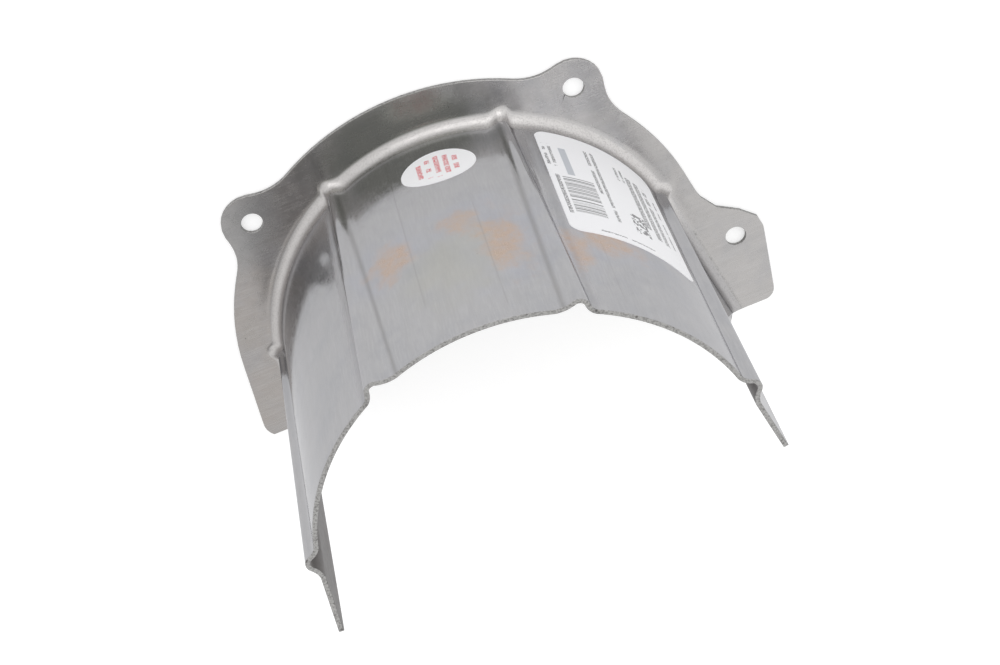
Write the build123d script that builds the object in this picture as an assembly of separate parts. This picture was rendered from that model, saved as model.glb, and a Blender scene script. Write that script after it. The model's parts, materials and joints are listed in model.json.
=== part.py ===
from build123d import *
import math
import os

# Heat shield for the inner joint of a drive shaft: one pressed sheet, a ribbed half-round trough
# that covers the joint and a flange with three ears that bolts it to the gearbox.
# Frame: +Z runs along the shaft from the gearbox to the free end, the mounting face lies at Z = 0,
# +Y points to the crest of the trough and the shaft's own axis is X = Y = 0.

# Driving dimensions, millimetres and degrees.
SHEET = 1.5
TROUGH_R = 68.2          # outer radius of the trough between its ribs
TROUGH_LENGTH = 122.0    # mounting face to free end
LEFT_WALL_ANGLE = 82.5   # from the crest to where the straight left wall begins
RIGHT_WALL_ANGLE = 79.5  # the same on the right, where the wall flares more
LEFT_STRIP_Y = -14.4     # height of the long lower edge on the left
RIGHT_STRIP_Y = -11.6    # and on the right
TIP_R = 2.5              # rounding of the lower corners at the free end
GUSSET_SLOPE = 0.63      # rise of the slanted lower edges between flange and strip, per unit along Z
GUSSET_BLEND_R = 12.0    # where a slanted edge meets the long one

LEAN = (1.0, -5.3)       # how far the trough sits off the shaft's axis where it meets the flange
LEAN_START = 9.0         # its foot stands square to the flange up to here and leans above
BEND_R = 4.8             # inside radius of the bend between trough and flange
FLANGE_R = 80.4          # outer edge of the flange
FLANGE_CENTRE = (-0.7, -1.7)  # its arc is struck from beside the shaft axis
LEFT_END_Y = -21.8       # lower end of the flange on the plain side
RIGHT_END_Y = -45.9      # lower end of the flange on the side of the third ear
LEFT_CORNER_R = 6.0

HOLE_R = 3.5             # clearance for M6
LEFT_HOLE_ANGLE = 44.9   # from the crest to the upper bolt holes
RIGHT_HOLE_ANGLE = 42.8
LEFT_HOLE_OUT = 0.1      # from the flange's edge out to each hole
RIGHT_HOLE_OUT = -0.6
LOWER_HOLE_OUT = 3.4
LOWER_HOLE_Y = -17.1
EAR_R = 9.9
EAR_BLEND_R = 18.0
LOWER_CORNER = (2.5, -24.6)   # from the third hole to the centre of the corner below it
LOWER_CORNER_R = 4.2

RIB_HEIGHT = 3.2
RIB_CREST_R = 3.2
RIB_SINK = 0.08          # the foot of a rib enters the sheet this deep, as a faint crease
INNER_RIB_ANGLE = 26.2   # from the crest to the inner pair of ribs
OUTER_RIB_ANGLE = 78.4   # from the crest to the outer pair of ribs
INNER_RIB_FEET = (8.6, 2.8)   # foot radii, towards the crest and away from it
OUTER_RIB_FEET = (4.4, 5.6)

LABEL_THICK = 0.15
LABEL_ANGLES = (31.8, 70.1)
LABEL_Z = (6.4, 74.7)
LABEL_CORNER_R = 4.0
STICKER_ANGLE = 4.1
STICKER_Z = 24.0
STICKER_HALF = (12.1, 10.1)

BEND_TOP = SHEET + BEND_R
INNER_R = TROUGH_R - SHEET
STRAIGHT = 75.0          # stock of the straight walls, cut back to their lower edges later


def wall_x(radius, y, angle):
    """Distance of a straight wall, or of a line beside it, from the shaft at height y."""
    a = math.radians(angle)
    return radius / math.sin(a) - y / math.tan(a)


def polar(radius, angle):
    """Point at a radius from the shaft axis and an angle from the crest."""
    a = math.radians(angle)
    return (radius * math.sin(a), radius * math.cos(a))


def lean_at(z):
    """Place of the trough's own middle at a distance along the shaft."""
    back = min(1, (TROUGH_LENGTH - z) / (TROUGH_LENGTH - LEAN_START))
    return Pos(LEAN[0] * back, LEAN[1] * back, z)


def up_the_trough(area, start, end):
    """Carries an area across the shaft along the trough: square to the flange first, then leaning."""
    rise = Vector(-LEAN[0], -LEAN[1], TROUGH_LENGTH - LEAN_START)
    foot = extrude(lean_at(start) * area, LEAN_START - start, dir=(0, 0, 1))
    rest = extrude(lean_at(LEAN_START) * area, (end - LEAN_START) * rise.length / rise.Z, dir=rise)
    return foot + rest


# Section of flange and bend in the plane of radius and Z, up to where the trough wall begins.
bend_section = make_face(
    [
        Line((TROUGH_R + 45, 0), (TROUGH_R + BEND_R, 0)),
        CenterArc((TROUGH_R + BEND_R, BEND_TOP), BEND_R + SHEET, 270, -90),
        Line((INNER_R, BEND_TOP), (TROUGH_R, BEND_TOP)),
        CenterArc((TROUGH_R + BEND_R, BEND_TOP), BEND_R, 180, 90),
        Line((TROUGH_R + BEND_R, SHEET), (TROUGH_R + 45, SHEET)),
        Line((TROUGH_R + 45, SHEET), (TROUGH_R + 45, 0)),
    ]
)
# The section stands at the right end of the arc and turns over the crest to the left end.
right_start = Plane(
    origin=(0, 0, 0),
    x_dir=(*polar(1, RIGHT_WALL_ANGLE), 0),
    z_dir=(*polar(1, RIGHT_WALL_ANGLE + 90), 0),
)
left_start = Plane(
    origin=(0, 0, 0),
    x_dir=(*polar(1, -LEFT_WALL_ANGLE), 0),
    z_dir=(*polar(1, -LEFT_WALL_ANGLE + 90), 0),
)


def round_the_bend(section):
    """Carries a section of radius and Z over the crest and straight down both walls."""
    arch = revolve(right_start * section, Axis.Z, RIGHT_WALL_ANGLE + LEFT_WALL_ANGLE)
    right_wall = extrude(right_start * section, STRAIGHT, dir=right_start.z_dir)
    left_wall = extrude(left_start * section, STRAIGHT, dir=-left_start.z_dir)
    return Pos(*LEAN, 0) * (arch + right_wall + left_wall)


def trough_area(inner_r, outer_r):
    """Area across the shaft between two radii, over the crest and straight down both walls."""
    curves = []
    lower_ends = []
    for radius in (inner_r, outer_r):
        left = Vector(*polar(radius, -LEFT_WALL_ANGLE), 0)
        right = Vector(*polar(radius, RIGHT_WALL_ANGLE), 0)
        left_end = left - left_start.z_dir * STRAIGHT
        right_end = right + right_start.z_dir * STRAIGHT
        curves += [Line(left_end, left), ThreePointArc(left, (0, radius), right), Line(right, right_end)]
        lower_ends.append((left_end, right_end))
    curves += [Line(*pair) for pair in zip(*lower_ends)]
    return make_face(curves)


folded = round_the_bend(bend_section)
folded += up_the_trough(trough_area(INNER_R, TROUGH_R), BEND_TOP, TROUGH_LENGTH)

# Outline of the flange, seen along the shaft: a band of even width, two upper ears and the third.
low_left = (-wall_x(FLANGE_R, LEFT_END_Y, LEFT_WALL_ANGLE), LEFT_END_Y)
right_y = LOWER_HOLE_Y - EAR_R
low_right = (wall_x(FLANGE_R, right_y, RIGHT_WALL_ANGLE), right_y)
arc_left = polar(FLANGE_R, -LEFT_WALL_ANGLE)
arc_right = polar(FLANGE_R, RIGHT_WALL_ANGLE)
band = make_face(
    [
        Line(low_left, arc_left),
        ThreePointArc(arc_left, (0, FLANGE_R), arc_right),
        Line(arc_right, low_right),
        Line(low_right, (40, right_y)),
        Line((40, right_y), (40, LEFT_END_Y)),
        Line((40, LEFT_END_Y), low_left),
    ]
)
left_hole = polar(FLANGE_R + LEFT_HOLE_OUT, -LEFT_HOLE_ANGLE)
right_hole = polar(FLANGE_R + RIGHT_HOLE_OUT, RIGHT_HOLE_ANGLE)
edge_x = FLANGE_CENTRE[0] + wall_x(FLANGE_R, LOWER_HOLE_Y - FLANGE_CENTRE[1], RIGHT_WALL_ANGLE)
lower_hole = (edge_x + LOWER_HOLE_OUT, LOWER_HOLE_Y)
lower_corner = (lower_hole[0] + LOWER_CORNER[0], lower_hole[1] + LOWER_CORNER[1])
right_ear = Pos(*right_hole) * Rot(0, 0, 225) * Circle(EAR_R)
left_ear = Pos(*left_hole) * Rot(0, 0, -45) * Circle(EAR_R)
inside = wall_x(INNER_R - SHEET, right_y, RIGHT_WALL_ANGLE)
third_ear = make_hull(
    (Pos(*lower_hole) * Rot(0, 0, 180) * Circle(EAR_R)).edges()
    + (Pos(*lower_corner) * Rot(0, 0, 180) * Circle(LOWER_CORNER_R)).edges()
    + Line((inside, right_y), (inside, RIGHT_END_Y)).edges()
)
outline = Pos(*FLANGE_CENTRE) * band + left_ear + right_ear + third_ear


def on_ear(vertex, hole):
    """True where a corner of the outline lies on the round of an ear."""
    return abs(math.dist((vertex.X, vertex.Y), hole) - EAR_R) < 0.01


# Hollow blends lead from the band into each ear, and the plain lower corner is rounded.
blended = [v for v in outline.vertices() if on_ear(v, left_hole) or on_ear(v, right_hole)]
blended += [v for v in outline.vertices() if on_ear(v, lower_hole) and v.Y > lower_hole[1] + 1]
outline = fillet(blended, EAR_BLEND_R)
corner = min(outline.vertices(), key=lambda v: math.dist((v.X, v.Y), low_left))
outline = fillet(corner, LEFT_CORNER_R)


# Space on the outer side of the sheet's middle: the ribs' ridges stay within it.
outer_side = make_face(
    [
        Line((TROUGH_R + 45, SHEET / 2), (TROUGH_R + BEND_R, SHEET / 2)),
        CenterArc((TROUGH_R + BEND_R, BEND_TOP), BEND_R + SHEET / 2, 270, -90),
        Line((TROUGH_R - SHEET / 2, BEND_TOP), (TROUGH_R + 45, BEND_TOP)),
        Line((TROUGH_R + 45, BEND_TOP), (TROUGH_R + 45, SHEET / 2)),
    ]
)
outer_space = round_the_bend(outer_side)
outer_space += up_the_trough(trough_area(TROUGH_R - SHEET / 2, TROUGH_R + 30), BEND_TOP, TROUGH_LENGTH)


def rib_faces(angle, feet):
    """Outer ridge of one rib and the groove behind it, as flat areas across the shaft."""
    crest_c = TROUGH_R + RIB_HEIGHT - RIB_CREST_R
    ground = TROUGH_R - RIB_SINK
    ridge = []
    groove = []
    for side_sign, foot_r in ((-1, feet[0]), (1, feet[1])):
        # The foot's round touches the crest's round and the sunk ground from outside.
        a = RIB_CREST_R + foot_r
        b = ground + foot_r
        cos_t = (crest_c**2 + b**2 - a**2) / (2 * crest_c * b)
        turn = side_sign * math.degrees(math.acos(cos_t))
        foot_c = polar(b, angle + turn)
        top_c = polar(crest_c, angle)
        k = RIB_CREST_R / a
        join = (top_c[0] + k * (foot_c[0] - top_c[0]), top_c[1] + k * (foot_c[1] - top_c[1]))
        k = (RIB_CREST_R - SHEET) / a
        join_in = (top_c[0] + k * (foot_c[0] - top_c[0]), top_c[1] + k * (foot_c[1] - top_c[1]))
        ridge.append((foot_c, foot_r, join, polar(ground, angle + turn), turn))
        groove.append((foot_c, foot_r + SHEET, join_in, polar(ground - SHEET, angle + turn), turn))
    faces = []
    for shape, crest_r, ground_r, depth in (
        (ridge, RIB_CREST_R, ground, 1.2),
        (groove, RIB_CREST_R - SHEET, ground - SHEET, 2.5),
    ):
        near, far = shape
        middle = polar(crest_c + crest_r, angle)
        low = [polar(ground_r - depth, angle + s[4]) for s in shape]
        curves = []
        for foot_c, foot_r, join, foot, turn in shape:
            half = (join[0] + foot[0] - 2 * foot_c[0], join[1] + foot[1] - 2 * foot_c[1])
            scale = foot_r / math.hypot(*half)
            mid = (foot_c[0] + scale * half[0], foot_c[1] + scale * half[1])
            curves.append(ThreePointArc(foot, mid, join))
        curves.append(ThreePointArc(near[2], middle, far[2]))
        curves.append(Polyline(near[3], low[0], low[1], far[3]))
        faces.append(make_face(curves))
    return faces


shield = folded
for angle, feet in ((INNER_RIB_ANGLE, INNER_RIB_FEET), (OUTER_RIB_ANGLE, OUTER_RIB_FEET)):
    ridge, groove = rib_faces(angle, feet)
    for turned in (ridge, groove), (mirror(ridge, about=Plane.YZ), mirror(groove, about=Plane.YZ)):
        shield += up_the_trough(turned[0], 0, TROUGH_LENGTH) & outer_space
        shield -= up_the_trough(turned[1], -1, TROUGH_LENGTH + 1)

# The flange is trimmed to its outline with a cutter taller than the part.
shield &= Pos(0, 0, -1) * extrude(outline, TROUGH_LENGTH + 2)


def lower_cut(end_y, strip_y):
    """Area below a wall's lower edge, as (Y, Z): slanted up from the flange, then level to the tip."""
    top = SHEET + (strip_y - end_y) / GUSSET_SLOPE
    end = TROUGH_LENGTH
    area = make_face(
        [
            Line((strip_y, top), (end_y, SHEET)),
            Line((end_y, SHEET), (end_y, -1)),
            Line((end_y, -1), (-90, -1)),
            Line((-90, -1), (-90, end + 1)),
            Line((-90, end + 1), (strip_y + TIP_R, end + 1)),
            Line((strip_y + TIP_R, end + 1), (strip_y + TIP_R, end)),
            CenterArc((strip_y + TIP_R, end - TIP_R), TIP_R, 90, 90),
            Line((strip_y, end - TIP_R), (strip_y, top)),
        ]
    )
    knee = min(area.vertices(), key=lambda v: math.dist((v.X, v.Y), (strip_y, top)))
    return fillet(knee, GUSSET_BLEND_R)


# Both lower edges are cut as they are seen from the side.
side = Plane(origin=(0, 0, 0), x_dir=(0, 1, 0), z_dir=(1, 0, 0))
shield -= extrude(side * lower_cut(RIGHT_END_Y, RIGHT_STRIP_Y), 120)
shield -= extrude(side * lower_cut(LEFT_END_Y, LEFT_STRIP_Y), -120)

# Bolt holes, punched through the three ears.
for hole in (left_hole, right_hole, lower_hole):
    print("hole at", round(hole[0], 3), round(hole[1], 3))
    shield -= Pos(*hole, 0) * extrude(Circle(HOLE_R), SHEET)

# Two paper labels lie on the outside of the trough: flat shapes, stamped out of a thin ring of paper.
paper_ring = up_the_trough(Circle(TROUGH_R + LABEL_THICK) - Circle(TROUGH_R), 0, TROUGH_LENGTH)


def stamped(shape, angle, z):
    """A flat shape, its X to the left and its Y along the shaft, cut out of the paper at this place."""
    flat = Plane(
        origin=(*polar(TROUGH_R - 10, angle), 0),
        x_dir=(*polar(1, angle - 90), 0),
        z_dir=(*polar(1, angle), 0),
    )
    return lean_at(z) * extrude(flat * shape, 20) & paper_ring


label_angle = sum(LABEL_ANGLES) / 2
half_width = TROUGH_R * math.sin(math.radians(LABEL_ANGLES[1] - LABEL_ANGLES[0]) / 2)
half_length = (LABEL_Z[1] - LABEL_Z[0]) / 2
to_left = polar(1, label_angle - 90)
drift = (LEAN[0] * to_left[0] + LEAN[1] * to_left[1]) / (TROUGH_LENGTH - LEAN_START) * half_length
label_shape = make_face(
    Polyline(
        (drift - half_width, -half_length),
        (drift + half_width, -half_length),
        (half_width - drift, half_length),
        (-half_width - drift, half_length),
        close=True,
    )
)
label_shape = fillet(label_shape.vertices(), LABEL_CORNER_R)
part_label = stamped(label_shape, label_angle, sum(LABEL_Z) / 2)
oval_sticker = stamped(Ellipse(*STICKER_HALF), STICKER_ANGLE, STICKER_Z)

os.makedirs("parts", exist_ok=True)
for name, body in (
    ("heat_shield", shield),
    ("part_label", part_label),
    ("oval_sticker", oval_sticker),
):
    print(name, "solids", len(body.solids()), "volume mm3", round(body.volume, 1))
    print("   size", body.bounding_box())
    export_step(body.solids()[0], f"parts/{name}.step")
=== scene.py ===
# %% [markdown]
# # A heat shield for a drive shaft's joint
# The real part is one pressed steel sheet. A half-round trough covers the hot joint, and a flange
# with three ears bolts it to the gearbox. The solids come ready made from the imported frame, so this
# lesson is about looks: the steel's finish, its stains and cut edges, the two paper labels, and a
# studio that shows satin metal well.

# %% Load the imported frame
import json
import math

import bmesh
import bpy
import numpy as np
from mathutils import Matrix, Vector
from mathutils.bvhtree import BVHTree

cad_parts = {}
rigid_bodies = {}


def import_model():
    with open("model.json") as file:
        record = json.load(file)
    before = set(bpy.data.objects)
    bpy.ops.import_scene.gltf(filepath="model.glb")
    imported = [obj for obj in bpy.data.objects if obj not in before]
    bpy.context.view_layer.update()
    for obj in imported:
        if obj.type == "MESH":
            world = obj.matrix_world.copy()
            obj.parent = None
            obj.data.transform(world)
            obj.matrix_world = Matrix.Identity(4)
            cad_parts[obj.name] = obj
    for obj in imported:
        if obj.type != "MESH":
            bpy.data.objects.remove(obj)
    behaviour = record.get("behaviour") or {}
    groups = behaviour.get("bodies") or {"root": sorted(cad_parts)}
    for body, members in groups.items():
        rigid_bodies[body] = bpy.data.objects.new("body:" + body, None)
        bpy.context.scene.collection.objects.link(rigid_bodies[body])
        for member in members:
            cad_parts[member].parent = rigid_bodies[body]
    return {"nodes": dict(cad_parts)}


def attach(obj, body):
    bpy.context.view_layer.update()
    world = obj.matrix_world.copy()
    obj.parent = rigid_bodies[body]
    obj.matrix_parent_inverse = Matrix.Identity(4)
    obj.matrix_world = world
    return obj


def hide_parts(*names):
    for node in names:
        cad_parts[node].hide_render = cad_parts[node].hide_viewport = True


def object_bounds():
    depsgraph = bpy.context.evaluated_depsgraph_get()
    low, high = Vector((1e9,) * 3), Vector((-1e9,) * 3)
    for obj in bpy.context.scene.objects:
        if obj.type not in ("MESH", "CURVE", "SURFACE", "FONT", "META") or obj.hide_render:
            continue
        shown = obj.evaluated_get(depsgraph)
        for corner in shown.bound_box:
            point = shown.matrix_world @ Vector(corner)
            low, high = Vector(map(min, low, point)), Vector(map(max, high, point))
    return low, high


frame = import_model()
cad_low, cad_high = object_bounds()
sheet_piece = frame["nodes"]["heat_shield"]
label_piece = frame["nodes"]["part_label"]
sticker_piece = frame["nodes"]["oval_sticker"]
for name, piece in frame["nodes"].items():
    print(name, "has", len(piece.data.polygons), "faces")

# %% [markdown]
# The sizes that the finishes need are the maker's own: the trough's radius, its length and the
# sheet's thickness. They are written in millimetres, because stains and print are easier to think
# of that way, and the shaders turn Blender's metres into millimetres once.

# %% Sizes of the pressed sheet, in millimetres
TROUGH_R = 68.2
TROUGH_LENGTH = 122.0
SHEET = 1.5
BEND_R = 4.8
BEND_TOP = SHEET + BEND_R
LEAN = (1.0, -5.3)
LEAN_START = 9.0
LEAN_KNEE = 5.0
HOLE_R = 3.5
print("trough", 2 * TROUGH_R, "mm across and", TROUGH_LENGTH, "mm long")

# %% [markdown]
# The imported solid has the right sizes, but where a rib runs into the bend its end is a plain
# meeting of two bodies. In a press the sheet flows: the bend swells out around each rib and the rib
# ends in a soft nose. So the visible sheet is drawn again here as one grid of quads on the same
# sizes. Rows follow the section of the trough, and columns run from the free end down the wall,
# round the bend and out over the flange.

# %% Section of the trough
LEFT_WALL = math.radians(82.5)
RIGHT_WALL = math.radians(79.5)
RIB_CREST_R = 3.2
RIB_SINK = 0.08
ribs = [
    # angle from the crest at the free end and at the flange, foot radius towards the crest and away
    (-78.4, -78.4, 4.4, 5.6),
    (-26.2, -26.0, 8.6, 3.6),
    (26.2, 23.6, 8.6, 3.6),
    (78.4, 77.0, 4.4, 5.6),
]
RIB_WIDTH_AT_FLANGE = 0.72
RIB_HEIGHT_AT_FLANGE = 0.78


def rib_height(run, z):
    total = np.zeros_like(run)
    grown = z / TROUGH_LENGTH
    for at_end, at_flange, near, far in ribs:
        angle = at_flange + (at_end - at_flange) * grown
        off = (run - math.radians(angle) * TROUGH_R) * math.copysign(1.0, angle)
        off = off / (RIB_WIDTH_AT_FLANGE + (1.0 - RIB_WIDTH_AT_FLANGE) * grown)
        for foot, side in ((near, off <= 0), (far, off > 0)):
            reach = math.sqrt((RIB_CREST_R + foot) ** 2 - (foot - RIB_SINK) ** 2)
            join = RIB_CREST_R * reach / (RIB_CREST_R + foot)
            away = np.abs(off)
            top = np.sqrt(np.clip(RIB_CREST_R**2 - away**2, 0, None))
            to_foot = np.clip(reach - away, 0, None)
            hollow = foot - RIB_SINK - np.sqrt(np.clip(foot**2 - to_foot**2, 0, None))
            height = np.where(away < join, top, np.where(away < reach, hollow, 0.0))
            total = np.where(side, np.maximum(total, height), total)
    return np.maximum(total, 0.0) * (RIB_HEIGHT_AT_FLANGE + (1.0 - RIB_HEIGHT_AT_FLANGE) * grown)


def wall_place(run):
    turn = np.clip(run / TROUGH_R, -LEFT_WALL, RIGHT_WALL)
    rest = run - turn * TROUGH_R
    out = np.stack([np.sin(turn), np.cos(turn)], -1)
    down = np.stack([np.cos(turn), -np.sin(turn)], -1)
    return TROUGH_R * out + rest[..., None] * down, out


def lean_share(z):
    leaning = TROUGH_LENGTH - LEAN_START
    back = (TROUGH_LENGTH - z) / leaning
    knee = 1.0 - (z - LEAN_START + LEAN_KNEE) ** 2 / (4.0 * LEAN_KNEE * leaning)
    return min(back, 1.0) if abs(z - LEAN_START) > LEAN_KNEE else knee


def leaned(spot, z):
    back = lean_share(z)
    return (spot[0] + LEAN[0] * back, spot[1] + LEAN[1] * back, z)


rib_top = rib_height(np.array([math.radians(26.2) * TROUGH_R]), TROUGH_LENGTH)[0]
print("a rib stands", round(float(rib_top), 2), "mm proud")

# %% [markdown]
# The two lower edges are cut as they are seen from the side: slanted up from the flange, a soft
# knee, level along the strip, and a small round at the tip. This gives the height of that edge for
# any place along the shaft.

# %% Lower edges of the walls
GUSSET_SLOPE = 0.63
KNEE_R = 12.0
TIP_R = 2.5
SIDES = {
    -1: dict(wall=LEFT_WALL, strip=-14.4, end=-21.8),
    1: dict(wall=RIGHT_WALL, strip=-11.6, end=-45.9),
}


def lower_edge(side, z):
    cut = SIDES[side]
    top = SHEET + (cut["strip"] - cut["end"]) / GUSSET_SLOPE
    lean = math.atan(GUSSET_SLOPE)
    cut_back = KNEE_R * math.tan(lean / 2)
    slant = cut["strip"] - GUSSET_SLOPE * np.clip(top - z, 0, None)
    start = top - cut_back * math.cos(lean)
    in_knee = (z > start) & (z < top + cut_back)
    to_level = np.clip(top + cut_back - z, 0, None)
    knee = cut["strip"] - KNEE_R + np.sqrt(np.clip(KNEE_R**2 - to_level**2, 0, None))
    edge = np.where(in_knee, knee, slant)
    round_off = np.clip(z - (TROUGH_LENGTH - TIP_R), 0, TIP_R)
    return np.maximum(edge + TIP_R - np.sqrt(TIP_R**2 - round_off**2), cut["end"])


for side, name in ((-1, "left"), (1, "right")):
    strip_at = float(lower_edge(side, np.array(90.0)))
    print(name, "edge falls from", round(strip_at, 1), "to", SIDES[side]["end"], "mm")

# %% [markdown]
# Rows stand close together on the ribs and wider between them. Below the outer ribs the rows fan
# out to the slanted edges, closer again near the ends, where the flange has rounded corners.

# %% Rows and columns of the grid
LAST_RIB = 101.5
RIB_ROWS = 0.42
PLAIN_ROWS = 1.5
rib_runs = [math.radians(rib[0]) * TROUGH_R - math.copysign(2.5, rib[0]) for rib in ribs]
row_run = [-LAST_RIB]
while row_run[-1] < LAST_RIB:
    near_rib = min(abs(row_run[-1] - rib_run) for rib_run in rib_runs)
    row_run.append(row_run[-1] + (RIB_ROWS if near_rib < 9.5 else PLAIN_ROWS))
row_run[-1] = LAST_RIB
row_run = np.array(row_run)
to_end = {
    -1: [0.0, 0.3, 0.8, 1.5, 2.5, 4.0, 6.0, 9.0, 13.0, 18.0, 23.0],
    1: [0.0, 0.2, 0.6, 1.2, 2.1, 3.2, 4.6, 7.0, 10.0, 14.0, 18.0, 22.0, 26.0, 30.0, 35.0, 40.0, 46.0],
}
tip_z = [122.0, 121.8, 121.4, 120.8, 120.2, 119.5, 117.0]
column_z = np.concatenate([tip_z, np.linspace(112.0, 6.5, 38)])
bend_turn = np.radians(np.linspace(0.0, 90.0, 13))
flange_share = np.array([0.1, 0.22, 0.36, 0.5, 0.64, 0.78, 0.89, 1.0])
print(len(row_run), "rows on the trough,", len(column_z) + len(bend_turn) + len(flange_share), "columns")

# %% [markdown]
# The rim of the flange is a free outline with three ears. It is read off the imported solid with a
# ray from outside at mid thickness, so the drawn sheet ends just where the solid ends.

# %% Rays to the rim of the flange
solid_tree = BVHTree.FromObject(sheet_piece, bpy.context.evaluated_depsgraph_get())
RAY_START = 70.0


def rim_distance(start, aim, nudge):
    far = (start[0] + RAY_START * aim[0], start[1] + RAY_START * aim[1] + nudge, SHEET / 2)
    hit = solid_tree.ray_cast(Vector(far) / 1000, Vector((-aim[0], -aim[1], 0.0)))
    return RAY_START - hit[3] * 1000


crest_rim = TROUGH_R + rim_distance((0.0, TROUGH_R), (0.0, 1.0), 0.0)
print("rim at the crest", round(crest_rim, 2), "mm from the shaft")

# %% [markdown]
# Now every row becomes a line of points on the outer face. On a rib the bend keeps nearly its full
# radius and simply moves out with the rib, which gives the swollen nose.

# %% Outer face of the sheet
def one_row(run_at, aim, nudge=0.0):
    points = []
    for z in column_z:
        run = run_at(z, 0.0)
        spot, out = wall_place(np.array(run))
        points.append(leaned(spot + out * rib_height(np.array(run), z), z))
    height = float(rib_height(np.array(run_at(SHEET, 0.0)), SHEET))
    bend_r = BEND_R - 0.2 * height
    for turn in bend_turn:
        off = height + bend_r * (1 - math.cos(turn))
        z = SHEET + bend_r * (1 - math.sin(turn))
        spot, out = wall_place(np.array(run_at(z, off)))
        points.append(leaned(spot + out * off, z))
    last = points[-1]
    reach = rim_distance(last[:2], aim, nudge)
    for part in flange_share:
        points.append((last[0] + aim[0] * reach * part, last[1] + aim[1] * reach * part, SHEET))
    return points


def fan_rows(side):
    cut = SIDES[side]
    rows = []
    top = float(wall_place(np.array(side * LAST_RIB))[0][1]) + LEAN[1]
    full = top - cut["end"]
    for left_over in to_end[side]:
        share = 1.0 - min(left_over / full, 1.0)

        def run_at(z, off):
            low = float(lower_edge(side, np.array(z))) - LEAN[1] * lean_share(z)
            wall = cut["wall"]
            end_rest = (TROUGH_R * math.cos(wall) + math.cos(wall) * off - low) / math.sin(wall)
            end_run = TROUGH_R * wall + end_rest
            return side * (LAST_RIB + (end_run - LAST_RIB) * share)

        tilt = cut["wall"] + (math.pi / 2 - cut["wall"]) * share
        rows.append(one_row(run_at, (side * math.sin(tilt), math.cos(tilt)), 0.05 * (left_over < 0.1)))
    return rows


middle_rows = []
for run in row_run:
    out = wall_place(np.array(run))[1]
    middle_rows.append(one_row(lambda z, off, run=run: run, out))
left_rows = fan_rows(-1)
right_rows = fan_rows(1)[::-1]
outer_face = np.array(left_rows + middle_rows + right_rows)
print("outer face:", outer_face.shape[0], "by", outer_face.shape[1], "points")

# %% [markdown]
# Sheet metal has one thickness all over. The inner face is the outer one moved inwards by that
# thickness along its own normals, and four strips close the cut edges. The trough leans, so its
# normals do too; the front row is set level again, because the real end is cut in one plane. A
# Solidify modifier would do nearly the same, but would leave that end slanted.

# %% Thickness and cut edges
along_rows = np.gradient(outer_face, axis=0)
along_columns = np.gradient(outer_face, axis=1)
normals = np.cross(along_columns, along_rows)
normals /= np.linalg.norm(normals, axis=2, keepdims=True)
if normals[len(normals) // 2, 5, 1] < 0:
    normals = -normals
inner_face = outer_face - SHEET * normals
at_front = outer_face[..., 2] > TROUGH_LENGTH - 0.001
inner_face[at_front, 2] = TROUGH_LENGTH
row_count, column_count = outer_face.shape[:2]
points = np.concatenate([outer_face.reshape(-1, 3), inner_face.reshape(-1, 3)]) / 1000
behind = row_count * column_count


def number(row, column):
    return row * column_count + column


faces = []
for row in range(row_count - 1):
    for column in range(column_count - 1):
        ring = [number(row, column), number(row + 1, column)]
        ring += [number(row + 1, column + 1), number(row, column + 1)]
        faces.append(ring)
        faces.append([behind + corner for corner in reversed(ring)])
border = [number(row, 0) for row in range(row_count)]
border += [number(row_count - 1, column) for column in range(1, column_count)]
border += [number(row, column_count - 1) for row in range(row_count - 2, -1, -1)]
border += [number(0, column) for column in range(column_count - 2, 0, -1)]
for first, second in zip(border, border[1:] + border[:1]):
    faces.append([second, first, behind + first, behind + second])
sheet_mesh = bpy.data.meshes.new("pressed_sheet")
sheet_mesh.from_pydata(points.tolist(), [], faces)
pressed_sheet = bpy.data.objects.new("pressed_sheet", sheet_mesh)
bpy.context.scene.collection.objects.link(pressed_sheet)
print("pressed sheet:", len(sheet_mesh.polygons), "faces")

# %% [markdown]
# The three bolt holes are punched through the ears with round cutters, as in the press, and then
# every cut edge gets the small rounding that a worn punch leaves.

# %% Bolt holes and broken edges
holes = [(-56.823, 57.021), (54.219, 58.552), (87.323, -17.1)]
for index, (x, y) in enumerate(holes):
    ring = bmesh.new()
    hole_r = HOLE_R / 1000
    bmesh.ops.create_cone(ring, cap_ends=True, segments=48, radius1=hole_r, radius2=hole_r, depth=0.006)
    bmesh.ops.translate(ring, verts=ring.verts, vec=(x / 1000, y / 1000, SHEET / 2000))
    punch_mesh = bpy.data.meshes.new("punch")
    ring.to_mesh(punch_mesh)
    ring.free()
    punch = bpy.data.objects.new("punch_%d" % index, punch_mesh)
    bpy.context.scene.collection.objects.link(punch)
    cut = pressed_sheet.modifiers.new("hole_%d" % index, "BOOLEAN")
    cut.operation = "DIFFERENCE"
    cut.solver = "EXACT"
    cut.object = punch
for polygon in sheet_mesh.polygons:
    polygon.use_smooth = True
soft_edge = pressed_sheet.modifiers.new("broken_edge", "BEVEL")
soft_edge.width = 0.00014
soft_edge.segments = 2
soft_edge.limit_method = "ANGLE"
soft_edge.angle_limit = math.radians(50)
soft_edge.use_clamp_overlap = False
soft_edge.harden_normals = True
seen = pressed_sheet.evaluated_get(bpy.context.evaluated_depsgraph_get())
finished = bpy.data.meshes.new_from_object(seen)
pressed_sheet.modifiers.clear()
pressed_sheet.data = finished
finished.name = "pressed_sheet"
for index in range(len(holes)):
    bpy.data.objects.remove(bpy.data.objects["punch_%d" % index])
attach(pressed_sheet, "root")
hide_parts("heat_shield")
print("pressed sheet with holes:", len(finished.polygons), "faces")

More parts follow.
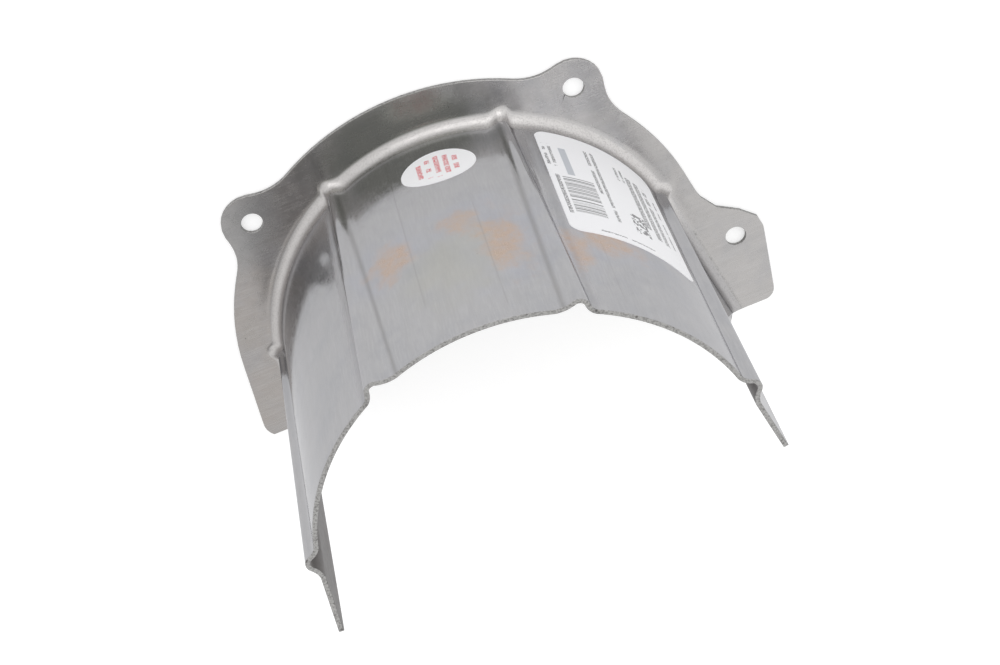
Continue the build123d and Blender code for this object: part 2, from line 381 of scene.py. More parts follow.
# %% [markdown]
# Shader trees grow long, so a few short helpers keep each later cell readable. One adds a node and
# sets its sockets, one does sums on sockets or numbers, one makes a soft step, and one mixes
# colours. Five more build on them: keep what lies in both of two masks, lay a tint over a tone where
# a mask is, add a share of a mask to a number, start a bare material, and close it with its shader.
# They could be written out each time, but then the idea of a finish would drown in wiring.

# %% Helpers for shader trees
def put(tree, kind, settings=None, **sockets):
    node = tree.nodes.new(kind)
    for key, value in (settings or {}).items():
        setattr(node, key, value)
    for key, value in sockets.items():
        feed(tree, node.inputs[key.replace("_", " ")], value)
    return node


def feed(tree, socket, value):
    if isinstance(value, bpy.types.NodeSocket):
        tree.links.new(value, socket)
    else:
        socket.default_value = value


def sums(tree, operation, *terms):
    node = tree.nodes.new("ShaderNodeMath")
    node.operation = operation
    for socket, term in zip(node.inputs, terms):
        feed(tree, socket, term)
    return node.outputs[0]


def soft_step(tree, value, start, end, low=0.0, high=1.0):
    node = put(tree, "ShaderNodeMapRange", {"interpolation_type": "SMOOTHSTEP"})
    for socket, term in zip(node.inputs, (value, start, end, low, high)):
        feed(tree, socket, term)
    return node.outputs[0]


def mixed(tree, share, first, second):
    node = put(tree, "ShaderNodeMix", {"data_type": "RGBA"})
    feed(tree, node.inputs[0], share)
    feed(tree, node.inputs[6], first)
    feed(tree, node.inputs[7], second)
    return node.outputs[2]


def both(tree, first, second):
    return sums(tree, "MULTIPLY", first, second)


def tinted(tree, tone, mask, share, colour):
    return mixed(tree, both(tree, mask, share), tone, colour)


def plus_share(tree, total, mask, share):
    return sums(tree, "ADD", total, both(tree, mask, share))


def bare_material(name):
    material = bpy.data.materials.new(name)
    material.use_nodes = True
    material.node_tree.nodes.clear()
    return material, material.node_tree


def wear(tree, shader):
    tree.links.new(shader.outputs[0], put(tree, "ShaderNodeOutputMaterial").inputs[0])


print("ten helpers ready")

# %% [markdown]
# An effect that several finishes share is a node group: a small machine with named inputs and
# outputs. This helper makes an empty one and gives back its inner tree with both ends in place.

# %% A helper for node groups
def new_group(name, inputs, outputs):
    tree = bpy.data.node_groups.new(name, "ShaderNodeTree")
    for title, kind, value in inputs:
        socket = tree.interface.new_socket(title, in_out="INPUT", socket_type=kind)
        if value is not None:
            socket.default_value = value
    for title, kind in outputs:
        tree.interface.new_socket(title, in_out="OUTPUT", socket_type=kind)
    start = tree.nodes.new("NodeGroupInput")
    end = tree.nodes.new("NodeGroupOutput")
    return tree, start.outputs, end.inputs


def use_group(tree, group, **sockets):
    node = put(tree, "ShaderNodeGroup", {"node_tree": group})
    for key, value in sockets.items():
        feed(tree, node.inputs[key.replace("_", " ")], value)
    return node.outputs


NUMBER = "NodeSocketFloat"
VECTOR = "NodeSocketVector"
print("groups use", NUMBER, "and", VECTOR)

# %% [markdown]
# Where on the shield is a point? The trough is a cylinder about the shaft, so a place on it is an
# arc length from the crest and a distance along the shaft, and the flange is flat. The trough's
# lean is taken off first, so that straight lines on it stay straight. One could unwrap the mesh and
# paint it, but these numbers follow from the point itself, so the stains stay put on the metal with
# no unwrapping at all. The same group also knows the sheared edges of the sheet.

# %% Group: place on the shield
place_group, _, give = new_group(
    "place_on_shield",
    [],
    [("Place", VECTOR), ("Arc", NUMBER), ("Along", NUMBER), ("Radius", NUMBER), ("Flange", NUMBER),
     ("Bend", NUMBER), ("Cut Edge", NUMBER), ("Outer Side", NUMBER)],
)
t = place_group
spot = put(t, "ShaderNodeTexCoord")
mm = put(t, "ShaderNodeVectorMath", {"operation": "SCALE"}, Scale=1000.0)
t.links.new(spot.outputs["Object"], mm.inputs[0])
xyz = put(t, "ShaderNodeSeparateXYZ", Vector=mm.outputs[0]).outputs
facing = put(t, "ShaderNodeSeparateXYZ", Vector=spot.outputs["Normal"]).outputs
back = sums(t, "DIVIDE", sums(t, "SUBTRACT", TROUGH_LENGTH, xyz[2]), TROUGH_LENGTH - LEAN_START)
back = sums(t, "MINIMUM", back, 1.0)
from_x = sums(t, "SUBTRACT", xyz[0], both(t, back, LEAN[0]))
from_y = sums(t, "SUBTRACT", xyz[1], both(t, back, LEAN[1]))
radius = sums(t, "SQRT", sums(t, "ADD", both(t, from_x, from_x), both(t, from_y, from_y)))
arc = both(t, sums(t, "ARCTAN2", from_x, from_y), TROUGH_R)
outward = sums(t, "ADD", both(t, facing[0], from_x), both(t, facing[1], from_y))
outward = sums(t, "DIVIDE", outward, radius)
upright = sums(t, "ABSOLUTE", facing[2])
flange = soft_step(t, xyz[2], SHEET + 0.5, SHEET + 0.1)
bend = both(t, soft_step(t, xyz[2], BEND_TOP + 0.5, BEND_TOP - 2.0), sums(t, "SUBTRACT", 1.0, flange))
end_face = soft_step(t, xyz[2], TROUGH_LENGTH - 0.06, TROUGH_LENGTH - 0.03)
rim = both(t, soft_step(t, xyz[2], SHEET - 0.02, SHEET - 0.06), soft_step(t, upright, 0.4, 0.2))
sideways = sums(t, "ABSOLUTE", facing[0])
below = both(t, soft_step(t, xyz[1], -8.0, -9.0), soft_step(t, sideways, 0.4, 0.2))
below = both(t, below, soft_step(t, xyz[2], SHEET, SHEET + 0.3))
cut_edge = sums(t, "MAXIMUM", sums(t, "MAXIMUM", end_face, rim), below)
outer = soft_step(t, sums(t, "ADD", outward, facing[2]), -0.2, 0.2)
for title, value in (("Place", mm.outputs[0]), ("Arc", arc), ("Along", xyz[2]), ("Radius", radius),
                     ("Flange", flange), ("Bend", bend), ("Cut Edge", cut_edge), ("Outer Side", outer)):
    t.links.new(value, give[title])
print("place_on_shield has", len(t.nodes), "nodes")

# %% [markdown]
# Rolled sheet carries a fine grain from the mill: short hair lines in one direction, and a finer
# speckle. Stretched noise gives both. Paper has a grain too, only rounder, so the stretch is an
# input of the group and each finish sets its own.

# %% Group: grain of a rolled or felted sheet
grain_group, take, give = new_group(
    "sheet_grain",
    [("Vector", VECTOR, None), ("Stretch", NUMBER, 20.0), ("Pitch", NUMBER, 0.6)],
    [("Lines", NUMBER), ("Speckle", NUMBER)],
)
t = grain_group
parts = put(t, "ShaderNodeSeparateXYZ", Vector=take["Vector"]).outputs
long_way = sums(t, "DIVIDE", parts[0], take["Stretch"])
squeezed = put(t, "ShaderNodeCombineXYZ", X=long_way, Y=parts[1], Z=parts[2]).outputs[0]
density = sums(t, "DIVIDE", 1.0, take["Pitch"])
hair = put(t, "ShaderNodeTexNoise", Vector=squeezed, Scale=density, Detail=4.0, Roughness=0.65)
dots = put(t, "ShaderNodeTexNoise", Vector=take["Vector"], Scale=density, Detail=3.0, Roughness=0.7)
t.links.new(hair.outputs[0], give["Lines"])
t.links.new(dots.outputs[0], give["Speckle"])
print("sheet_grain has", len(t.nodes), "nodes")

# %% [markdown]
# Heat and oil leave patches with a ragged rim. A patch is an oval in arc and length whose rim is
# pushed in and out by noise. One group draws them all: the orange stains, and the green tint and the
# grey ear on the flange, which are partly painted dark reflection, differ only in place, size and
# raggedness.

# %% Group: ragged patch
patch_group, take, give = new_group(
    "ragged_patch",
    [("Vector", VECTOR, None), ("Across", NUMBER, 0.0), ("Along", NUMBER, 0.0),
     ("Across Middle", NUMBER, 0.0), ("Along Middle", NUMBER, 0.0), ("Across Half", NUMBER, 10.0),
     ("Along Half", NUMBER, 10.0), ("Ragged", NUMBER, 1.0), ("Pitch", NUMBER, 8.0), ("Soft", NUMBER, 0.4)],
    [("Mask", NUMBER)],
)
t = patch_group
across = sums(t, "DIVIDE", sums(t, "SUBTRACT", take["Across"], take["Across Middle"]), take["Across Half"])
along = sums(t, "DIVIDE", sums(t, "SUBTRACT", take["Along"], take["Along Middle"]), take["Along Half"])
reach = sums(t, "SQRT", sums(t, "ADD", both(t, across, across), both(t, along, along)))
density = sums(t, "DIVIDE", 1.0, take["Pitch"])
cloud = put(t, "ShaderNodeTexNoise", Vector=take["Vector"], Scale=density, Detail=5.0, Roughness=0.62)
push = both(t, sums(t, "SUBTRACT", cloud.outputs[0], 0.5), take["Ragged"])
rim_at = sums(t, "ADD", reach, push)
mask = soft_step(t, rim_at, sums(t, "ADD", 0.8, take["Soft"]), sums(t, "SUBTRACT", 0.8, take["Soft"]))
t.links.new(mask, give["Mask"])
print("ragged_patch has", len(t.nodes), "nodes")

# %% [markdown]
# Small dark specks, pits and dust are dots of uneven size. A Voronoi texture gives each cell a
# middle and a random colour; the colour decides whether a cell has a dot at all and how big it is.

# %% Group: specks
speck_group, take, give = new_group(
    "specks",
    [("Vector", VECTOR, None), ("Spacing", NUMBER, 8.0), ("Size", NUMBER, 0.4), ("Share", NUMBER, 0.5)],
    [("Mask", NUMBER)],
)
t = speck_group
cells = put(t, "ShaderNodeTexVoronoi", Vector=take["Vector"], Scale=sums(t, "DIVIDE", 1.0, take["Spacing"]))
tint = put(t, "ShaderNodeSeparateColor", Color=cells.outputs["Color"]).outputs
distance = both(t, cells.outputs["Distance"], take["Spacing"])
size = both(t, take["Size"], sums(t, "ADD", 0.35, tint[1]))
dot = soft_step(t, distance, size, both(t, size, 0.4))
chosen = sums(t, "LESS_THAN", tint[0], take["Share"])
t.links.new(both(t, dot, chosen), give["Mask"])
print("specks has", len(t.nodes), "nodes")

# %% [markdown]
# A drawn sheet keeps faint straight lines where the die dragged along it, and scratches are the
# same thing at other places. Each line has a place across, a width, and two ends.

# %% Group: drag line
line_group, take, give = new_group(
    "drag_line",
    [("Across", NUMBER, 0.0), ("Along", NUMBER, 0.0), ("Place", NUMBER, 0.0), ("Slope", NUMBER, 0.0),
     ("Width", NUMBER, 0.4), ("From", NUMBER, 0.0), ("To", NUMBER, 100.0)],
    [("Mask", NUMBER)],
)
t = line_group
lean = both(t, sums(t, "SUBTRACT", take["Along"], take["From"]), take["Slope"])
off = sums(t, "ABSOLUTE", sums(t, "SUBTRACT", sums(t, "SUBTRACT", take["Across"], take["Place"]), lean))
thin = soft_step(t, off, take["Width"], 0.0)
begins = soft_step(t, take["Along"], take["From"], sums(t, "ADD", take["From"], 6.0))
ends = soft_step(t, take["Along"], take["To"], sums(t, "SUBTRACT", take["To"], 6.0))
t.links.new(both(t, thin, both(t, begins, ends)), give["Mask"])
print("drag_line has", len(t.nodes), "nodes")

# %% [markdown]
# Now the steel itself. It is bare, satin and a little stained, so nearly all of its look is what it
# mirrors. The base colour stays close to plain steel and only leans: warm and darker to the left on
# the flange, partly heat tint and partly a painted dark reflection; bluish on the trough; paler and
# speckled on the bend, partly where the die rubbed it and partly a painted highlight that grows
# towards the right; dark inside as painted shade, and dull there. A picture of steel would carry its
# own reflections along, so the tone is built from noise instead.

# %% Steel: places, and the tone of plain sheet
steel, s = bare_material("rolled_steel_sheet")
on = use_group(s, place_group)
place, arc, along, radius = on["Place"], on["Arc"], on["Along"], on["Radius"]
flange, bend, cut_edge, outer = on["Flange"], on["Bend"], on["Cut Edge"], on["Outer Side"]
trough_map = put(s, "ShaderNodeCombineXYZ", X=along, Y=arc, Z=radius).outputs[0]
grain_map = put(s, "ShaderNodeMix", {"data_type": "VECTOR"})
s.links.new(flange, grain_map.inputs[0])
s.links.new(trough_map, grain_map.inputs[4])
s.links.new(place, grain_map.inputs[5])
grain_map = grain_map.outputs[1]
grain = use_group(s, grain_group, Vector=grain_map, Stretch=14.0, Pitch=0.55)
wide_grain = use_group(s, grain_group, Vector=grain_map, Stretch=9.0, Pitch=3.2)
# Partly heat tint, partly painted dark reflection: the flange's colour darkens towards the left.
RIGHT_FLANGE = (0.58, 0.565, 0.557, 1)
LEFT_FLANGE = (0.39, 0.365, 0.348, 1)
plain_flange = mixed(s, soft_step(s, arc, 30.0, -52.0), RIGHT_FLANGE, LEFT_FLANGE)
plain_flange = tinted(s, plain_flange, soft_step(s, arc, 58.0, 84.0), 0.7, (0.47, 0.455, 0.447, 1))
tone = mixed(s, flange, (0.455, 0.452, 0.463, 1), plain_flange)
clouds = put(s, "ShaderNodeTexNoise", Vector=trough_map, Scale=0.07, Detail=4.0, Roughness=0.6)
tone = mixed(s, soft_step(s, clouds.outputs[0], 0.42, 0.68, 0.0, 0.3), tone, (0.35, 0.36, 0.39, 1))
tone = mixed(s, soft_step(s, wide_grain["Lines"], 0.35, 0.7, 0.0, 0.16), tone, (0.36, 0.355, 0.35, 1))
tone = mixed(s, soft_step(s, grain["Lines"], 0.4, 0.7, 0.0, 0.16), tone, (0.66, 0.655, 0.65, 1))
tone = mixed(s, soft_step(s, grain["Speckle"], 0.55, 0.75, 0.0, 0.22), tone, (0.31, 0.305, 0.3, 1))
# The bend is paler than the trough and paler still towards the right: partly rubbed by the die, partly a
# painted highlight.
burnished_and_highlight = mixed(s, soft_step(s, arc, 5.0, 40.0), (0.57, 0.55, 0.537, 1), (0.70, 0.68, 0.665, 1))
crystals = put(s, "ShaderNodeTexNoise", Vector=place, Scale=2.2, Detail=2.0, Roughness=0.6).outputs[0]
burnished_and_highlight = mixed(s, soft_step(s, crystals, 0.46, 0.64, 0.0, 0.55), burnished_and_highlight, (0.36, 0.345, 0.335, 1))
tone = tinted(s, tone, bend, 0.8, burnished_and_highlight)
low_side = soft_step(s, sums(s, "ABSOLUTE", arc), 92.0, 112.0, 0.0, 0.5)
tone = tinted(s, tone, low_side, sums(s, "SUBTRACT", 1.0, flange), (0.26, 0.26, 0.27, 1))
# Painted shade: the inner faces are darkened.
inside = sums(s, "SUBTRACT", 1.0, outer)
tone = tinted(s, tone, inside, 0.85, (0.16, 0.148, 0.14, 1))
print("plain steel tone uses", len(s.nodes), "nodes")

# %% [markdown]
# Stains come next. Orange-brown patches sit half way along the crest panel and beside the label,
# each mottled and inside a faint bluish halo, with a straw wash between them. The flange is darker
# and greenish along the crest and greyer at its left ear, partly heat tint and partly a painted dark
# reflection. A painted mask would need a picture; the ragged patch of the group above needs only a
# middle and a size.

# %% Steel: stains, and painted dark reflection on the flange
ORANGE = (0.60, 0.40, 0.25, 1)
BLUISH = (0.44, 0.455, 0.53, 1)
STRAW = (0.46, 0.455, 0.395, 1)
stain_list = [
    # arc, along, half across, half along
    (-17.0, 66.5, 8.0, 10.0),
    (17.2, 79.0, 7.5, 17.0),
    (49.5, 77.2, 10.0, 9.0),
    (6.0, 62.0, 6.0, 7.0),
    (37.5, 86.0, 4.0, 12.0),
]
polar_map = put(s, "ShaderNodeCombineXYZ", X=arc, Y=radius, Z=along).outputs[0]
on_trough = dict(Vector=trough_map, Across=arc, Along=along)
on_rim = dict(Vector=polar_map, Across=arc, Along=radius)


def patch(where, across_at, along_at, half_across, half_along, ragged, pitch, soft):
    middle = dict(Across_Middle=across_at, Along_Middle=along_at)
    half = dict(Across_Half=half_across, Along_Half=half_along)
    return use_group(s, patch_group, Ragged=ragged, Pitch=pitch, Soft=soft, **where, **middle, **half)["Mask"]


halo = 0.0
blot = 0.0
for arc_at, along_at, half_arc, half_along in stain_list:
    wide = patch(on_trough, arc_at, along_at, half_arc * 1.8, half_along * 1.6, 1.8, 10.0, 0.6)
    tight = patch(on_trough, arc_at, along_at, half_arc, half_along, 2.6, 7.0, 0.6)
    halo = sums(s, "MAXIMUM", wide, halo)
    blot = sums(s, "MAXIMUM", tight, blot)
on_outside = both(s, outer, soft_step(s, along, BEND_TOP, BEND_TOP + 4.0))
halo = both(s, halo, on_outside)
mottle = soft_step(s, wide_grain["Speckle"], 0.32, 0.62, 0.6, 1.0)
blot = both(s, both(s, blot, on_outside), mottle)
straw = both(s, patch(on_trough, 1.0, 84.0, 15.0, 22.0, 1.8, 12.0, 0.6), on_outside)
tone = tinted(s, tone, halo, 0.4, BLUISH)
tone = tinted(s, tone, straw, 0.4, STRAW)
tone = tinted(s, tone, blot, 0.55, ORANGE)
on_flange = both(s, flange, outer)
# Partly heat tint, partly painted dark reflection: the grey left ear and the dark green stretch along the
# crest.
ear = both(s, patch(on_rim, -54.0, 88.0, 16.0, 12.0, 0.4, 9.0, 0.4), on_flange)
green = both(s, patch(on_rim, -4.0, 74.0, 33.0, 16.0, 0.6, 9.0, 0.35), on_flange)
tone = tinted(s, tone, ear, 0.8, (0.365, 0.363, 0.362, 1))
tone = tinted(s, tone, green, 0.85, (0.185, 0.19, 0.168, 1))
print(len(stain_list), "heat stains, one straw wash and two tinted stretches of flange")

# %% [markdown]
# Handling leaves specks and lines. The specks are scattered, the drag lines stand where the real
# sheet shows them: two long ones on the crest panel and a few short scratches. Beside each upper rib
# the crease at its foot towards the crest is a bump with painted shade in it, and on the far side the
# sheet is scuffed matt, so that foot does not mirror as a hard black line.

# %% Steel: specks and drag lines
fine_specks = use_group(s, speck_group, Vector=place, Spacing=7.0, Size=0.32, Share=0.3)["Mask"]
tone = tinted(s, tone, fine_specks, 0.55, (0.12, 0.115, 0.11, 1))
line_list = [
    # arc, slope, width, from, to
    (-11.2, 0.014, 0.45, 3.0, 103.0),
    (11.7, 0.012, 0.4, 49.0, 118.0),
    (-36.0, 0.02, 0.35, 60.0, 116.0),
    (46.0, 0.0, 0.3, 78.0, 120.0),
]
crease_list = [(26.6, 0.0, 1.2, 3.0, 128.0), (-29.2, 0.05, 1.2, 3.0, 128.0)]
far_foot_list = [(35.9, 0.0, 2.4, 3.0, 128.0), (-35.9, 0.0, 2.4, 3.0, 128.0)]


def lines(rows):
    found = 0.0
    for arc_at, slope, width, first, last in rows:
        shape = dict(Place=arc_at, Slope=slope, Width=width, From=first, To=last)
        line = use_group(s, line_group, Across=arc, Along=along, **shape)
        found = sums(s, "MAXIMUM", line["Mask"], found)
    return both(s, found, on_outside)


drag = lines(line_list)
crease_shade = lines(crease_list)
far_foot = lines(far_foot_list)
tone = tinted(s, tone, drag, 0.26, (0.30, 0.295, 0.29, 1))
# Painted shade: the creases beside the upper ribs are darkened.
tone = tinted(s, tone, crease_shade, 0.5, (0.25, 0.245, 0.24, 1))
print(len(line_list), "drag lines,", len(crease_list), "creases and", len(far_foot_list), "scuffed feet")

# %% [markdown]
# A sheared edge is half burnished, half torn: rougher than the faces, with dark pits. How dull the
# sheet is comes next: satin on the trough, duller on the flange, matt on the rubbed bend and inside.

# %% Steel: sheared edge and roughness
pits = use_group(s, speck_group, Vector=place, Spacing=2.4, Size=0.75, Share=0.34)["Mask"]
torn = put(s, "ShaderNodeTexNoise", Vector=place, Scale=1.6, Detail=4.0, Roughness=0.7).outputs[0]
edge_tone = mixed(s, soft_step(s, torn, 0.4, 0.68), (0.46, 0.455, 0.445, 1), (0.21, 0.205, 0.2, 1))
edge_tone = tinted(s, edge_tone, pits, 0.8, (0.10, 0.095, 0.09, 1))
tone = mixed(s, cut_edge, tone, edge_tone)
dull = soft_step(s, grain["Lines"], 0.3, 0.7, 0.12, 0.18)
dull = sums(s, "ADD", dull, soft_step(s, wide_grain["Speckle"], 0.35, 0.7, -0.03, 0.05))
dull_places = [
    (flange, 0.09), (blot, 0.08), (fine_specks, 0.3), (bend, 0.2),
    (far_foot, 0.4), (inside, 0.3), (cut_edge, 0.2),
]
for mask, share in dull_places:
    dull = plus_share(s, dull, mask, share)
print("roughness differs in", len(dull_places), "kinds of place")

# %% [markdown]
# Pressed sheet is never quite true, and bare metal shows it. The bump, in millimetres, adds slow
# waves, the grain, the crystals on the bend, the torn edge, the drag lines and the creases. The real
# trough also seems to open a little towards its foot; flare turns the outer face by that small
# angle, so that it mirrors the flange over a shorter length and stays in the solid's outline.

# %% Steel: bump and shader
FLARE = 0.06
waves = put(s, "ShaderNodeTexNoise", Vector=trough_map, Scale=0.045, Detail=2.0, Roughness=0.5).outputs[0]
flare = sums(s, "MAXIMUM", sums(s, "SUBTRACT", along, BEND_TOP), 0.0)
height = both(s, sums(s, "SUBTRACT", grain["Lines"], 0.5), 0.006)
height_places = [
    (grain["Speckle"], 0.004), (waves, 0.12), (drag, -0.01), (crease_shade, -0.1),
    (both(s, crystals, bend), 0.05), (both(s, torn, cut_edge), 0.05), (both(s, flare, outer), -FLARE),
]
for mask, share in height_places:
    height = plus_share(s, height, mask, share)
bump = put(s, "ShaderNodeBump", Height=height)
bump.inputs["Strength"].default_value = 1.0
bump.inputs["Distance"].default_value = 0.001
skin = put(s, "ShaderNodeBsdfPrincipled", Base_Color=tone, Roughness=dull, Normal=bump.outputs[0])
skin.inputs["Metallic"].default_value = 1.0
skin.inputs["Specular Tint"].default_value = (0.85, 0.85, 0.86, 1)
wear(s, skin)
pressed_sheet.data.materials.clear()
pressed_sheet.data.materials.append(steel)
print("rolled_steel_sheet has", len(s.nodes), "nodes")

# %% [markdown]
# Both labels are coated paper, printed with plain rows of dashes. A row is a band at one height,
# cut into words by a coarse noise and into strokes by a fine one, which is all that small print
# shows at arm's length. Real type would need a font and says nothing about the part.

# %% Group: printed row
row_group, take, give = new_group(
    "printed_row",
    [("Across", NUMBER, 0.0), ("Along", NUMBER, 0.0), ("Middle", NUMBER, 0.0), ("Half Height", NUMBER, 0.6),
     ("From", NUMBER, 0.0), ("To", NUMBER, 10.0), ("Word", NUMBER, 4.0), ("Solid", NUMBER, 0.0)],
    [("Mask", NUMBER)],
)
t = row_group
off = sums(t, "ABSOLUTE", sums(t, "SUBTRACT", take["Across"], take["Middle"]))
half = take["Half Height"]
band = soft_step(t, off, sums(t, "ADD", half, 0.08), sums(t, "SUBTRACT", half, 0.06))
after_start = sums(t, "GREATER_THAN", take["Along"], take["From"])
in_row = both(t, after_start, sums(t, "LESS_THAN", take["Along"], take["To"]))
words_at = put(t, "ShaderNodeCombineXYZ", X=take["Along"], Y=both(t, take["Middle"], 7.3)).outputs[0]
word_scale = sums(t, "DIVIDE", 1.0, take["Word"])
words = put(t, "ShaderNodeTexNoise", Vector=words_at, Scale=word_scale, Detail=0.0).outputs[0]
letters_at = put(t, "ShaderNodeCombineXYZ", X=both(t, take["Along"], 3.2), Y=both(t, take["Across"], 1.5))
letters = put(t, "ShaderNodeTexNoise", Vector=letters_at.outputs[0], Scale=1.0, Detail=1.0).outputs[0]
ink = both(t, soft_step(t, words, 0.33, 0.37), soft_step(t, letters, 0.40, 0.52))
ink = sums(t, "MAXIMUM", ink, take["Solid"])
t.links.new(both(t, both(t, band, in_row), ink), give["Mask"])
print("printed_row has", len(t.nodes), "nodes")

# %% [markdown]
# The paper under the print is the same on both labels: white, faintly felted and half glossy. One
# function lays the ink on it and closes the material.

# %% Coated paper
def felted_paper(tree, place_at, dim):
    felt = use_group(tree, grain_group, Vector=place_at, Stretch=1.5, Pitch=0.35)
    mottling = soft_step(tree, felt["Speckle"], 0.35, 0.7, 0.0, 0.5)
    return felt, mixed(tree, mottling, (0.95, 0.95, 0.97 - dim, 1), (0.90, 0.90, 0.92 - dim, 1))


def close_paper(tree, felt, printed):
    gloss = soft_step(tree, felt["Lines"], 0.3, 0.7, 0.34, 0.46)
    relief = put(tree, "ShaderNodeBump", Height=felt["Speckle"])
    relief.inputs["Strength"].default_value = 0.25
    relief.inputs["Distance"].default_value = 0.00003
    card = put(tree, "ShaderNodeBsdfPrincipled", Base_Color=printed, Roughness=gloss)
    tree.links.new(relief.outputs[0], card.inputs["Normal"])
    card.inputs["Specular IOR Level"].default_value = 0.4
    wear(tree, card)


def print_row(tree, across, along, middle, half, first, last, word=4.0, solid=0.0):
    spread = dict(Across=across, Along=along, Middle=middle, Half_Height=half, From=first, To=last)
    return use_group(tree, row_group, Word=word, Solid=solid, **spread)["Mask"]


print("paper and print are ready")

# %% [markdown]
# The square label lies to the right of the crest. Its rows run along the shaft, a block of stripes
# stands near its left edge, and its lower right corner has a block of small squares.

# %% Paper of the square label
LABEL_LEFT = math.radians(31.8) * TROUGH_R
paper, p = bare_material("coated_label_paper")
on = use_group(p, place_group)
across = sums(p, "SUBTRACT", on["Arc"], LABEL_LEFT)
along = on["Along"]
row_list = [
    # across, half height, from, to, word length
    (1.4, 0.5, 15.0, 30.0, 3.0),
    (3.4, 0.5, 15.0, 31.0, 3.5),
    (2.5, 0.65, 37.0, 63.0, 9.0),
    (16.3, 0.6, 14.0, 44.0, 4.5),
    (18.6, 0.6, 14.0, 62.0, 5.0),
    (26.8, 0.55, 17.0, 26.0, 3.0),
    (29.0, 0.5, 17.0, 26.0, 3.0),
    (31.4, 1.1, 20.0, 55.0, 5.5),
    (34.8, 1.1, 20.0, 59.0, 6.5),
    (38.2, 1.0, 20.0, 59.0, 5.0),
    (42.0, 0.5, 22.0, 57.0, 4.0),
]
ink = 0.0
for middle, half, first, last, word in row_list:
    ink = sums(p, "MAXIMUM", print_row(p, across, along, middle, half, first, last, word), ink)
foot_row = print_row(p, along, across, 71.5, 0.4, 10.0, 29.0, word=3.0)
ink = sums(p, "MAXIMUM", foot_row, ink)
plain_bar = print_row(p, across, along, 7.6, 1.2, 17.0, 36.0, solid=1.0)
stripe_code = put(p, "ShaderNodeTexNoise", {"noise_dimensions": "1D"}, W=along, Scale=1.35, Detail=1.0)
stripe_box = print_row(p, across, along, 9.3, 5.2, 38.0, 62.0, solid=1.0)
stripes = both(p, stripe_box, soft_step(p, stripe_code.outputs[0], 0.49, 0.53))
square_map = put(p, "ShaderNodeCombineXYZ", X=along, Y=across).outputs[0]
squares = put(p, "ShaderNodeTexWhiteNoise", {"noise_dimensions": "2D"})
snapped = put(p, "ShaderNodeVectorMath", {"operation": "SNAP"})
p.links.new(square_map, snapped.inputs[0])
snapped.inputs[1].default_value = (0.75, 0.75, 0.75)
p.links.new(snapped.outputs[0], squares.inputs["Vector"])
square_box = print_row(p, across, along, 27.4, 2.8, 50.0, 63.0, solid=1.0)
dotted = both(p, square_box, sums(p, "GREATER_THAN", squares.outputs["Value"], 0.52))
ink = sums(p, "MAXIMUM", sums(p, "MAXIMUM", ink, stripes), dotted)
felt, white = felted_paper(p, on["Place"], 0.0)
white = tinted(p, white, plain_bar, 0.75, (0.42, 0.45, 0.5, 1))
close_paper(p, felt, tinted(p, white, ink, 0.82, (0.07, 0.07, 0.075, 1)))
label_piece.material_slots[0].material = paper
print("square label:", len(row_list), "rows, one block of stripes, one of squares")

# %% [markdown]
# The oval sticker on the crest is the same paper with a few short rows in red ink, left plain here.

# %% Paper of the oval sticker
oval, o = bare_material("oval_sticker_paper")
on = use_group(o, place_group)
across, along = on["Arc"], on["Along"]
RED_HALF = 0.8
red_rows = [
    # across, from, to
    (-1.0, 19.5, 28.5),
    (1.9, 18.0, 30.0),
    (4.8, 17.0, 31.0),
    (7.7, 18.0, 30.0),
    (10.6, 19.5, 28.5),
]
red_ink = 0.0
for middle, first, last in red_rows:
    red_ink = sums(o, "MAXIMUM", print_row(o, across, along, middle, RED_HALF, first, last), red_ink)
felt, white = felted_paper(o, on["Place"], 0.005)
close_paper(o, felt, tinted(o, white, red_ink, 0.85, (0.68, 0.07, 0.09, 1)))
sticker_piece.material_slots[0].material = oval
print("oval sticker:", len(red_rows), "rows of red ink")

# %% [markdown]
# The studio: a white floor under the flange. Seen by the camera or in the metal it gets a little
# light of its own, so that it reads as white paper and still keeps the shield's soft shadow.

# %% Floor
FLOOR_HALF = 3.0
corners = [(x * FLOOR_HALF, y * FLOOR_HALF, 0) for x, y in ((-1, -1), (1, -1), (1, 1), (-1, 1))]
floor_mesh = bpy.data.meshes.new("floor")
floor_mesh.from_pydata(corners, [], [(0, 1, 2, 3)])
floor = bpy.data.objects.new("floor", floor_mesh)
floor.location.z = cad_low[2] - 0.0003
bpy.context.scene.collection.objects.link(floor)
ground, g = bare_material("white_floor")
matt = put(g, "ShaderNodeBsdfDiffuse", Color=(0.6, 0.6, 0.6, 1))
ray = put(g, "ShaderNodeLightPath").outputs
in_metal = sums(g, "MAXIMUM", ray["Is Glossy Ray"], ray["Is Transmission Ray"])
seen = plus_share(g, both(g, ray["Is Camera Ray"], 0.52), in_metal, 0.36)
lift = put(g, "ShaderNodeEmission", Strength=seen)
whole = put(g, "ShaderNodeAddShader")
g.links.new(matt.outputs[0], whole.inputs[0])
g.links.new(lift.outputs[0], whole.inputs[1])
wear(g, whole)
floor_mesh.materials.append(ground)
print("floor at", round(floor.location.z * 1000, 2), "mm")

# %% [markdown]
# Bare steel looks like whatever stands around it, so the studio matters as much as the finish. This
# one is a white tent: bright walls all round, a roof that is hardly dimmer, and in the roof the dark
# gap where the photographer stands, which is what the crest and the flange mirror. A picture of a
# real studio would do the same, but a few soft steps on the direction say it plainly. Camera rays
# see pure white, and paper and floor get an even light.

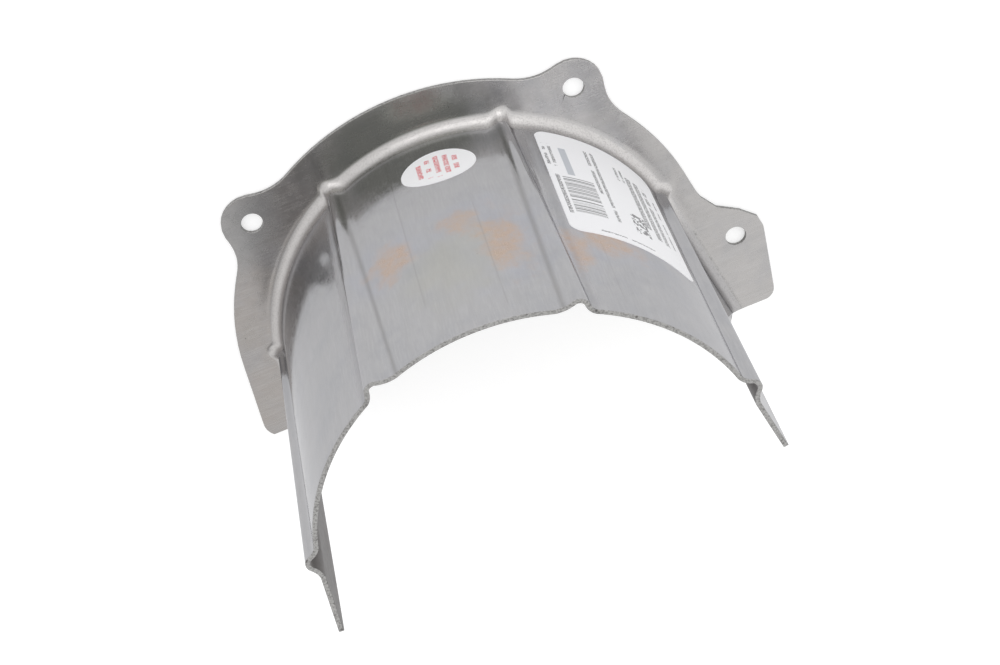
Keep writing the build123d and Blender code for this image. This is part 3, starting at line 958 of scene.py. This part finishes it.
# %% World
world = bpy.data.worlds.new("white_tent")
bpy.context.scene.world = world
world.use_nodes = True
w = world.node_tree
w.nodes.clear()
toward = put(w, "ShaderNodeSeparateXYZ", Vector=put(w, "ShaderNodeTexCoord").outputs["Generated"]).outputs
overhead = sums(w, "SUBTRACT", toward[2], both(w, toward[1], 0.6))
mirrored = soft_step(w, overhead, 0.62, 1.0, 1.08, 0.98)
gap = both(w, soft_step(w, toward[1], 0.18, 0.02), soft_step(w, toward[1], -0.38, -0.2))
gap = both(w, gap, both(w, soft_step(w, toward[0], 0.3, 0.05), soft_step(w, toward[2], 0.45, 0.65)))
mirrored = both(w, mirrored, sums(w, "SUBTRACT", 1.0, both(w, gap, 0.5)))
ray = put(w, "ShaderNodeLightPath").outputs
shiny = sums(w, "MAXIMUM", ray["Is Glossy Ray"], ray["Is Transmission Ray"])
level = plus_share(w, both(w, shiny, mirrored), sums(w, "SUBTRACT", 1.0, shiny), 1.04)
level = sums(w, "MAXIMUM", level, ray["Is Camera Ray"])
tent = put(w, "ShaderNodeBackground", Color=(1, 1, 1, 1), Strength=level)
w.links.new(tent.outputs[0], put(w, "ShaderNodeOutputWorld").inputs[0])
print("white tent ready")

# %% [markdown]
# One broad soft box stands on the crest's side and gives the paper and the floor a direction of
# light. It is large and mild, because a small hard lamp would burn a spot into the bend.

# %% Lamps
def soft_box(name, place_at, size, watts):
    lamp = bpy.data.lights.new(name, "AREA")
    lamp.shape = "RECTANGLE"
    lamp.size, lamp.size_y = size
    lamp.energy = watts
    holder = bpy.data.objects.new(name, lamp)
    holder.location = place_at
    aim = holder.location.to_track_quat("Z", "Y")
    holder.rotation_euler = aim.to_euler()
    bpy.context.scene.collection.objects.link(holder)
    return holder


soft_box("crest_side_box", (0.3, 1.3, 0.75), (1.2, 0.6), 2.4)
print("one soft box")

# %% [markdown]
# The camera stands where the photographer stood: above the free end, turned a little. Its place
# comes from matching the shield's own edges to the picture, with an 81 mm lens on a 36 mm sensor.

# %% Camera
eye = bpy.data.cameras.new("photo_eye")
eye.sensor_width = 36.0
eye.lens = 81.0
camera = bpy.data.objects.new("photo_eye", eye)
camera.location = (0.031565, 0.405802, 0.628516)
camera.rotation_euler = [math.radians(a) for a in (-32.676, -10.329, -19.622)]
bpy.context.scene.collection.objects.link(camera)
bpy.context.scene.camera = camera
bpy.context.scene.view_settings.view_transform = "Standard"
print("camera", [round(v, 3) for v in camera.location], "m from the shaft's axis")
